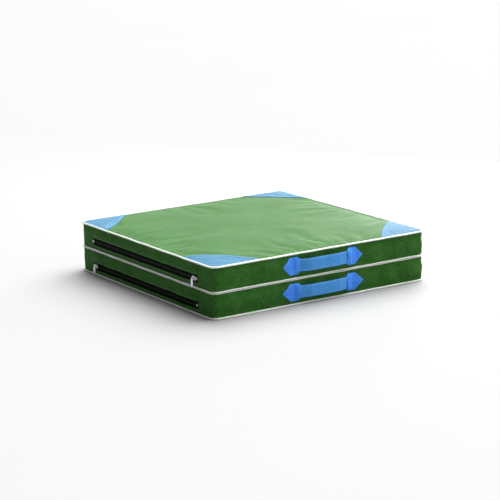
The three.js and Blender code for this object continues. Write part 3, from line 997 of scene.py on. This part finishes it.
def zip_strip(panel, surface, label, node, low, high, lift, fold, wave_seed, free_at_low):
    """A canvas strip along the zip, sewn to the wall at one edge and free at the other. It stands
    off the wall by the two lifts, and bows out by the fold between its edges."""
    reach = panel.zip_half + STRIP_OVERLAP
    ys = np.linspace(-reach, reach, 150)
    share = np.r_[0, 0.02, 0.05, np.linspace(0.1, 0.9, 13), 0.95, 0.98, 1]
    from_free = share if free_at_low else 1 - share
    wave = ripple(ys, 0, STRIP_WAVE, wave_seed)[:, None] * (1 - smooth(from_free, 0, 0.5))
    zs = low + (high - low) * share + 0.35 * MM * wave
    slack = 1 - 0.8 * smooth(np.abs(ys), panel.zip_half - STRIP_CALM, reach)
    raised = lift[0] + (lift[1] - lift[0]) * (1 - smooth(from_free, 0.05, 0.8))
    bowed = raised - lift[0] + fold * np.sin(math.pi * from_free) * (1 + 0.35 * wave)
    raised = lift[0] + bowed * slack[:, None]
    raised = raised + 0.2 * MM * wave - 0.35 * MM * (from_free < 0.01)
    grid = xyz(-panel.half, ys[:, None], zs)
    points, faces = laid(surface, grid, ZIP_OUT, raised)
    strip = panel.piece(label, thickened(points, faces, STRIP_THICKNESS), CANVAS_GREEN,
                        "canvas_green", [node], (ys[:, None], zs, (high - low) * from_free))
    panel.node("wall_canvas")
    return Surface(points, faces)


def zip_fabric(panel, wall):
    """The canvas strips above and below the zip, and the stitches along them and at its ends."""
    flap = zip_strip(panel, wall, "zip_cover_flap", "zip_flap", panel.flap_bottom - 0.3 * MM,
                     panel.top - STRIP_FROM_SEAM, FLAP_LIFT, FLAP_FOLD, 201, free_at_low=True)
    lower = zip_strip(panel, wall, "zip_lower_facing", "zip_facing",
                      panel.base + STRIP_FROM_SEAM, panel.facing_top, FACING_LIFT,
                      FACING_FOLD, 203, free_at_low=False)
    ys = np.linspace(-panel.zip_half, panel.zip_half, 120)
    for label, strip, level in (("flap", flap, panel.flap_bottom + FLAP_STITCHES),
                                ("facing", lower, panel.facing_top - FACING_STITCHES)):
        row = xyz(-panel.half, ys, level)
        sewn(panel, f"zip_{label}_stitches", [row], strip, ZIP_OUT, "green")
    zs = np.linspace(panel.base + 5 * MM, panel.top - 5 * MM, 30)
    for side, label in ((-1, "front"), (1, "back")):
        rows = [xyz(-panel.half, side * (panel.zip_half + past), zs) for past in ZIP_END_STITCHES]
        sewn(panel, f"zip_end_stitches_{label}", rows, wall, ZIP_OUT, "green")


def zip_chain(panel):
    """Two woven tapes, each with its row of moulded teeth."""
    reach = panel.zip_half - 0.5 * MM
    x = -panel.half + TAPE_RECESS
    ys = np.linspace(-reach, reach, 120)
    share = np.linspace(0, 1, 7)
    for side, label in ((1, "upper"), (-1, "lower")):
        near = panel.chain + side * 0.15 * MM
        far = (panel.flap_bottom if side > 0 else panel.facing_top) + side * TAPE_TUCK
        grid = xyz(x, ys[:, None], np.linspace(near, far, len(share)))
        grid[..., 0] += 0.2 * MM * ripple(grid[..., 1], grid[..., 2], 30 * MM, 90 + side) * share
        points = grid.reshape(-1, 3)
        faces = facing(points, grid_faces(len(ys), len(share)), ZIP_OUT)
        weave = (points[:, 1], points[:, 2], np.abs(points[:, 2] - near))
        tape = panel.piece(f"zip_{label}_tape", thickened(points, faces, TAPE_THICKNESS), ZIP_TAPE,
                           "zip_tape", [f"zip_tape_{label}"], weave)
        panel.node("foam")
        count = int(2 * (reach - CHAIN_MARGIN) / TOOTH_PITCH)
        y = (np.arange(count) - count / 2 + (0.25 if side > 0 else 0.75)) * TOOTH_PITCH
        centres = xyz(x - TOOTH_PLACE[0], y, panel.chain + side * TOOTH_PLACE[1])
        up = np.tile((0.0, 0.0, 1.0), (count, 1))
        out = np.tile(np.array(ZIP_OUT, float), (count, 1))
        panel.piece(f"zip_{label}_teeth", stitch_mesh(centres, up, out, *TOOTH), TEETH, "zip_tape")


def stacked(outline, levels, insets):
    """A closed solid facing -X: a flat (y, z) outline at each level outwards, drawn in there by
    the inset."""
    centre = (outline.max(0) + outline.min(0)) / 2
    size = (outline.max(0) - outline.min(0)) / 2
    return lofted([xyz(-level, *(centre + (outline - centre) * (1 - inset / size)).T)
                   for level, inset in zip(levels, insets)])


def rounded_outline(width, height, corner, waist=0.0):
    """A rectangle with round corners, centred on zero, whose long sides may draw in."""
    outline = []
    for sx, sy in CORNERS.values():
        arc = quarter_arc(10) * corner + (width / 2 - corner, height / 2 - corner)
        if sx * sy < 0:
            arc = arc[::-1]
        outline.append(arc * (sx, sy))
        if sx == sy:
            middle = np.linspace(0.75, -0.75, 7)[:, None] * (width / 2 - corner) * sx
            drawn = waist * np.cos(middle / (width / 2) * math.pi / 2) ** 2
            outline.append(np.column_stack([middle, sy * (height / 2 - drawn)]))
    return np.concatenate(outline)


def outline_of(box, corner, waist=0.0):
    """A round-cornered outline that fills a box, seen along X, and the middle of it."""
    low, high = box
    middle = ((low.y + high.y) / 2, (low.z + high.z) / 2)
    return rounded_outline(high.y - low.y, high.z - low.z, corner, waist) + middle, middle


def stop_pieces(panel):
    for label in ("front", "back"):
        low, high = box = panel.box(f"zip_stop_{label}")
        levels = -high.x + (high.x - low.x) * np.array([0, 0.45, 0.8, 1.0])
        shape = stacked(outline_of(box, 0.7 * MM)[0], levels, np.array([0, 0, 0.15, 0.5]) * MM)
        panel.piece(f"zip_end_stop_{label}", shape, METAL, "zip_metal", [f"zip_stop_{label}"])


def slider_piece(panel):
    """Slider: a waisted plate with soft edges, a raised spine, and the bail for the pull."""
    low, high = box = panel.box("zip_slider")
    outline, middle = outline_of(box, 2.4 * MM, waist=0.9 * MM)
    foot, face = -high.x, -high.x + 1.6 * MM  # the plate's two sides
    levels = [foot, foot + 0.3 * MM, face - 0.5 * MM, face - 0.12 * MM, face]
    plate = stacked(outline, levels, np.array([0.4, 0, 0, 0.35, 0.9]) * MM)
    spine = stacked(rounded_outline(8.6 * MM, 3.0 * MM, 1.2 * MM) + middle,
                    [face - 0.2 * MM, face + 0.25 * MM, face + 0.45 * MM],
                    np.array([0, 0.15, 0.6]) * MM)
    wire, bend = 0.75 * MM, 1.2 * MM  # radii of the bail's wire and of its corners
    top = -low.x - wire
    reach = (high.y - low.y) / 2 - 1.8 * MM
    turn = np.linspace(0, math.pi / 2, 7)
    left = [(-reach, face - 0.4 * MM)]
    left += [(-reach + bend * (1 - math.cos(a)), top - bend * (1 - math.sin(a))) for a in turn]
    arch = left + [(-a, out) for a, out in reversed(left)]
    line = np.array([(-out, middle[0] + a, middle[1]) for a, out in arch])
    panel.piece("zip_slider_body", joined(plate, spine, tube(line, wire)), METAL, "zip_metal",
                ["zip_slider"], body="zip_slider")


def pull_piece(panel):
    """Pull tab: rolled round the bail's bar, then flat, waisted and round-ended."""
    low, high = panel.box("zip_pull")
    y = (low.y + high.y) / 2
    knuckle, thick = 1.9 * MM, 1.0 * MM  # outer radius of the roll, and the metal
    narrow, widening, narrowing = 5.4 * MM, 2.2 * MM, 1.4 * MM
    bar_x, bar_z = low.x + knuckle, high.z - knuckle
    radius = knuckle - thick / 2
    turn = np.linspace(-0.4 * math.pi, math.pi, 22)
    path = [(bar_x + radius * math.cos(a), bar_z + radius * math.sin(a)) for a in turn]
    bottom = low.z + 0.2 * MM
    down = np.linspace(0, 1, 26)[1:]
    path += [(bar_x - radius, bar_z + (bottom - bar_z) * d) for d in down]
    path = np.array(path)
    below_bar = np.arange(len(path)) >= len(turn)
    fall = np.clip((bar_z - path[:, 1]) / (bar_z - bottom), 0, 1) * below_bar
    width = narrow + widening * smooth(fall, 0.05, 0.45) - narrowing * smooth(fall, 0.45, 0.9)
    end = np.clip((fall - 0.86) / 0.14, 0, 1)
    width = width * np.sqrt(np.maximum(1 - end**2, 0.02))
    across = powered(np.cos(around(20)), 0.5)
    through = powered(np.sin(around(20)), 0.6)
    dish = 0.22 * MM * smooth(fall, 0.2, 0.4) * (1 - smooth(fall, 0.7, 0.85))
    rings = []
    for place, normal, w, hollow in zip(path, normals_beside(path), width, dish):
        half_thick = thick / 2 - hollow * (1 - np.abs(across) ** 4)
        x, z = (place + np.outer(through * half_thick, normal)).T
        rings.append(xyz(x, y + across * w / 2, z))
    panel.piece("zip_pull_tab", lofted(rings), METAL, "zip_metal", ["zip_pull"], body="zip_pull")


# ---------------- handles

FRONT = (0, -1, 0)
HANDLE_SIDES = {-1: "zip_side", 1: "hinge_side"}
TAB_SHOULDER = 22 * MM
TAB_CLIP = (5 * MM, 4 * MM)  # cut off its corners at the strap, along and across
TAB_LIFT = 1.0 * MM
TAB_HEM, TAB_HEM_LIFT = (6 * MM, 7.5 * MM), 0.5 * MM  # thins out this far from the edge
TAB_OVER_STRAP = (12 * MM, 16 * MM)  # from the middle: where it comes down beside the strap
TAB_STITCHES = (2.6 * MM, 8.2 * MM)  # loops, from its edge
STRAP_THICKNESS = 2.4 * MM
STRAP_TUCK = 8 * MM  # under its tab
STRAP_RISE = 24 * MM  # it leaves the wall over this length
STRAP_SWAY, STRAP_SWAY_WAVE = 0.35 * MM, 40 * MM  # out and in
STRAP_SAG, STRAP_SAG_WAVE = 0.5 * MM, 60 * MM  # up and down
STRAP_STITCHES = (-9.2 * MM, 9.2 * MM)  # rows, from its middle


def inset_outline(corners, distance):
    """A convex outline, drawn in by a distance on every side."""
    corners = np.asarray(corners, float)
    centre = corners.mean(0)
    lines = []
    for a, b in zip(corners, np.roll(corners, -1, 0)):
        way = (b - a) / np.linalg.norm(b - a)
        normal = np.array([-way[1], way[0]])
        if (centre - a) @ normal < 0:
            normal = -normal
        lines.append((a + normal * distance, way))
    moved = []
    for (a, u), (b, v) in zip([lines[-1], *lines[:-1]], lines):
        s = np.linalg.solve(np.column_stack([u, -v]), b - a)[0]
        moved.append(a + u * s)
    return np.array(moved)


def tab_piece(panel, side, wall):
    """House-shaped reinforcement, its point away from the strap, sewn over the strap's end. Gives
    the place of its edge at the strap."""
    label = HANDLE_SIDES[side]
    low, high = panel.box(f"handle_tab_{label}")
    start = low.x if side > 0 else high.x
    length = high.x - low.x
    half_height = (high.z - low.z) / 2
    clip_along, clip_across = TAB_CLIP
    a = spaced([0, 0.6 * MM, clip_along, TAB_SHOULDER, length - 0.6 * MM], [1, 5, 17, 18])
    height = half_height * np.minimum(1, (length - a) / (length - TAB_SHOULDER))
    height = np.minimum(height, half_height - clip_across * (1 - a / clip_along))
    across = np.r_[-1, -0.97, np.linspace(-0.92, 0.92, 23), 0.97, 1]
    a = a[:, None]
    xs, zs = np.broadcast_arrays(start + side * a, height[:, None] * across)
    grid = xyz(xs, -panel.half, panel.mid + zs)
    slope = math.hypot(half_height, length - TAB_SHOULDER)
    to_slant = (half_height * (length - a) - np.abs(zs) * (length - TAB_SHOULDER)) / slope
    to_clip = (half_height - np.abs(zs)) * clip_along - clip_across * (clip_along - a)
    to_clip = to_clip / math.hypot(*TAB_CLIP)
    hem = least(a, half_height - np.abs(zs), to_slant, to_clip)
    over_strap = 1 - smooth(a, STRAP_TUCK, STRAP_TUCK + 6 * MM)
    over_strap = over_strap * (1 - smooth(np.abs(zs), *TAB_OVER_STRAP))
    lift = TAB_LIFT + TAB_HEM_LIFT * (1 - smooth(hem, *TAB_HEM))
    lift = lift - 0.45 * MM * (hem < 0.2 * MM)
    lift = lift + (STRAP_THICKNESS + 0.25 * MM) * over_strap
    lift = lift + 0.12 * MM * ripple(xs, zs, 14 * MM, 120 + side)
    points, faces = laid(wall, grid, FRONT, lift)
    depth = np.where(over_strap > 0.02, TAB_LIFT, lift - 0.05 * MM).ravel()
    tab = panel.piece(f"handle_patch_{label}", thickened(points, faces, depth), CANVAS_BLUE,
                      "canvas_blue", [f"handle_tab_{label}"], (xs, zs, hem))
    panel.node("wall_canvas")
    half_outline = [(0, clip_across - half_height), (clip_along, -half_height),
                    (TAB_SHOULDER, -half_height)]
    outline = [*half_outline, (length, 0), *[(u, -v) for u, v in reversed(half_outline)]]
    rows = []
    for inset in TAB_STITCHES:
        loop = inset_outline(outline, inset)
        for p, q in zip(loop, np.roll(loop, -1, 0)):
            u, v = np.linspace(p, q, 12).T
            rows.append(xyz(start + side * u, -panel.half, panel.mid + v))
    sewn(panel, f"handle_patch_{label}_stitches", rows, Surface(points, faces), FRONT, "blue",
         length=2.4 * MM)
    return start


def strap_piece(panel, side, tab_edge, wall):
    """Half of the handle strap, from under its tab to the middle of the handle."""
    low, high = panel.box("handle_strap")
    half_height = (high.z - low.z) / 2
    standoff = -low.y - panel.half - STRAP_THICKNESS / 2
    xs = side * np.linspace(abs(tab_edge) + STRAP_TUCK, 0, 64)
    on_wall, _ = wall.land(xyz(xs, -panel.half, panel.mid), FRONT)
    lying = -on_wall[:, 1] - panel.half + STRAP_THICKNESS / 2 + 0.1 * MM
    free = smooth(abs(tab_edge) - np.abs(xs), -2 * MM, STRAP_RISE)
    seed = 131 + panel.rests_on_floor
    out = lying + (standoff - lying) * free
    out = out + STRAP_SWAY * ripple(np.abs(xs), 0, STRAP_SWAY_WAVE, seed) * free
    line = np.column_stack([xs, -panel.half - out])
    normal = normals_beside(line)
    normal *= -np.sign(normal[:, 1:])
    tall = powered(np.cos(around(36)), 0.7) * half_height
    through = powered(np.sin(around(36)), 0.35) * STRAP_THICKNESS / 2
    hem = half_height - np.abs(tall)
    through = through * (0.86 + 0.14 * smooth(hem, 0.5 * MM, 4 * MM))
    sag = STRAP_SAG * ripple(np.abs(xs), 0, STRAP_SAG_WAVE, seed + 6) * free
    points, faces = lofted([xyz(*(place + np.outer(through, way)).T, panel.mid + tall + down)
                            for place, way, down in zip(line, normal, sag)])
    weave = (points[:, 0].reshape(len(xs), -1), tall, hem)
    label = HANDLE_SIDES[side]
    strap = panel.piece(f"strap_{label}", (points, faces), STRAP_BLUE, "canvas_blue",
                        ["handle_strap"] if side < 0 else [], weave, body=None)
    keep = np.abs(xs) < abs(tab_edge) - 1 * MM
    rows = [xyz(*line[keep].T, panel.mid + height + sag[keep]) for height in STRAP_STITCHES]
    stitches = sewn(panel, f"strap_{label}_stitches", rows, Surface(points, faces), FRONT, "blue",
                    body=None)
    for obj in (strap, stitches):
        panel.node("handle")
        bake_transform(obj)


# ---------------- hinge strip

HINGE = (1, 0, 0)
HINGE_THICKNESS = 1.6 * MM
HINGE_CREST = 5.9 * MM  # how far the strip stands out where it crosses from panel to panel
HINGE_LEVEL = 5 * MM  # it is laid on the walls as they are this far from the crossing
HINGE_STITCHES = (2.5 * MM, 5.5 * MM)  # rows, from its long edges


def hinge_piece(lower, upper, walls):
    """One canvas band sewn to both panels' hinge sides. It stands out in a crest where the panels
    meet.
    """
    bottom = lower.box("hinge_strip_half")[0].z
    top = upper.box("hinge_strip_half")[1].z
    axis_z = (lower.top + upper.base) / 2
    reach = lower.straight
    zs = spaced([bottom, axis_z - HINGE_LEVEL, axis_z + HINGE_LEVEL, top], [9, 14, 9])
    ys = np.linspace(-reach, reach, 110)
    columns = []
    for z in zs:
        below = z < axis_z
        level = min(z, axis_z - HINGE_LEVEL) if below else max(z, axis_z + HINGE_LEVEL)
        places, _ = walls[0 if below else 1].land(xyz(lower.half, ys, level), HINGE)
        lying = places[:, 0] + HINGE_THICKNESS + 0.1 * MM
        bend = 1 - smooth(abs(z - axis_z), 0.5 * MM, 9 * MM)
        columns.append(xyz(lying + (lower.half + HINGE_CREST - lying) * bend, ys, z))
    grid = np.stack(columns, 1)
    grid[..., 0] += 0.12 * MM * ripple(grid[..., 1], grid[..., 2], 24 * MM, 151)
    points = grid.reshape(-1, 3)
    faces = facing(points, grid_faces(len(ys), len(zs)), HINGE)
    _, y, z = points.T
    hem = least(z - bottom, top - z, reach - np.abs(y))
    strip = piece("hinge_strip", thickened(points, faces, HINGE_THICKNESS), CANVAS_GREEN, None,
                  [lower.node("hinge_strip_half"), upper.node("hinge_strip_half")],
                  (y, z, hem))
    unrolled(grid[len(ys) // 2])
    lower.node("wall_canvas")
    upper.node("wall_canvas")
    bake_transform(strip)
    for panel, edge, inwards in ((lower, bottom, 1), (upper, top, -1)):
        rows = [xyz(lower.half, ys[1:-1], edge + inwards * inset) for inset in HINGE_STITCHES]
        sewn(panel, "hinge_strip_stitches", rows, Surface(points, faces), HINGE, "green")


# ---------------- the mat


def make_mat():
    panels = [Panel("lower", -1), Panel("upper", 1)]
    covers = [Cover(panel) for panel in panels]
    simulate(covers)
    walls = []
    for panel, cover in zip(panels, covers):
        sheets = sheets_of(cover)
        foam_piece(panel)
        canvas_pieces(cover, sheets)
        piping_piece(cover, outer=True)
        piping_piece(cover, outer=False)
        patch_pieces(panel, Surface(*sheets[OUTER]))
        wall = Surface(*joined(sheets[WALL], sheets[ZIP_WINDOW]))
        walls.append(wall)
        zip_fabric(panel, wall)
        zip_chain(panel)
        stop_pieces(panel)
        slider_piece(panel)
        pull_piece(panel)
        for side in HANDLE_SIDES:
            tab_edge = tab_piece(panel, side, wall)
            strap_piece(panel, side, tab_edge, wall)
    hinge_piece(*panels, walls)


make_mat()


# ---------------- floor, light and camera

AIM = Vector((0, 0, (CAD_LOW[2] + CAD_HIGH[2]) / 2))
AZIMUTH = math.radians(-33.7)
ELEVATION = math.radians(13.4)
ROLL = math.radians(-1.0)
DISTANCE = 3.75
LENS = 136.0
FLOOR_HALF = 40.0
SKY_HORIZON = 0.91  # about the floor's brightness
SKY_SIDES = (0.08, 0.5)  # from the left and behind, and from the right and in front


def floor():
    corners = np.array([(-1, -1), (1, -1), (1, 1), (-1, 1)]) * FLOOR_HALF
    mesh = raw_mesh("floor", xyz(*corners.T, 0), [(0, 1, 2, 3)])
    mesh.materials.append(paper("paper", (0.32, 0.32, 0.32)))
    linked("floor", mesh)


def sky():
    """White light, weak overhead and from the left, and as bright as the floor at the horizon."""
    SCENE.world = bpy.data.worlds.new("sky")
    n = Nodes(SCENE.world)
    background = n.tree.nodes["Background"]
    place = n.add("TexCoord", output="Generated")

    def along(direction, *limits):
        way = Vector(direction).normalized()
        dot = n.add("VectorMath", {0: place, 1: way}, "Value", operation="DOT_PRODUCT")
        return n.spread(dot, *limits, interpolation_type="SMOOTHSTEP")

    sides = along((0.75, -0.66, 0), -1, 1, *SKY_SIDES)
    horizon = along((0, 0, 1), 0.0, 0.2, SKY_HORIZON, 0.0)
    n.put(background.inputs["Color"], (1, 1, 1, 1))
    n.put(background.inputs["Strength"], n.math("MAXIMUM", sides, horizon))


def pointed(direction):
    """The turn of a light or a camera that looks along a direction."""
    return Vector(direction).to_track_quat("-Z", "Y")


def light(name, kind, strength, turn, **settings):
    data = bpy.data.lights.new(name, kind)
    data.energy = strength
    for key, value in settings.items():
        setattr(data, key, value)
    obj = linked(name, data)
    obj.rotation_euler = turn.to_euler()
    return obj


def sun(name, direction, strength, angle):
    """A very soft light from far away, so that it's as strong all over the floor."""
    light(name, "SUN", strength, pointed(-Vector(direction)), angle=math.radians(angle))


def area_light(name, place, size, power):
    obj = light(name, "AREA", power, pointed(AIM - Vector(place)), shape="DISK", size=size)
    obj.location = place
    obj.visible_camera = False


def camera():
    data = bpy.data.cameras.new("camera")
    data.lens = LENS
    data.sensor_width = 36.0
    data.clip_end = 200.0
    obj = linked("camera", data)
    way = Vector((math.sin(AZIMUTH) * math.cos(ELEVATION),
                  -math.cos(AZIMUTH) * math.cos(ELEVATION), math.sin(ELEVATION)))
    obj.location = AIM + way * DISTANCE
    roll = Matrix.Rotation(ROLL, 3, Vector((0, 0, 1)))
    obj.rotation_euler = (pointed(-way).to_matrix() @ roll).to_euler()
    SCENE.camera = obj


floor()
sky()
sun("key", (0.65, 0.3, 1.0), 9.2, 70)
area_light("fill", (1.8, -2.6, 1.2), 1.6, 12)
area_light("back", (1.05, 0.7, 0.26), 0.5, 9.0)
camera()
SCENE.view_settings.view_transform = "Standard"
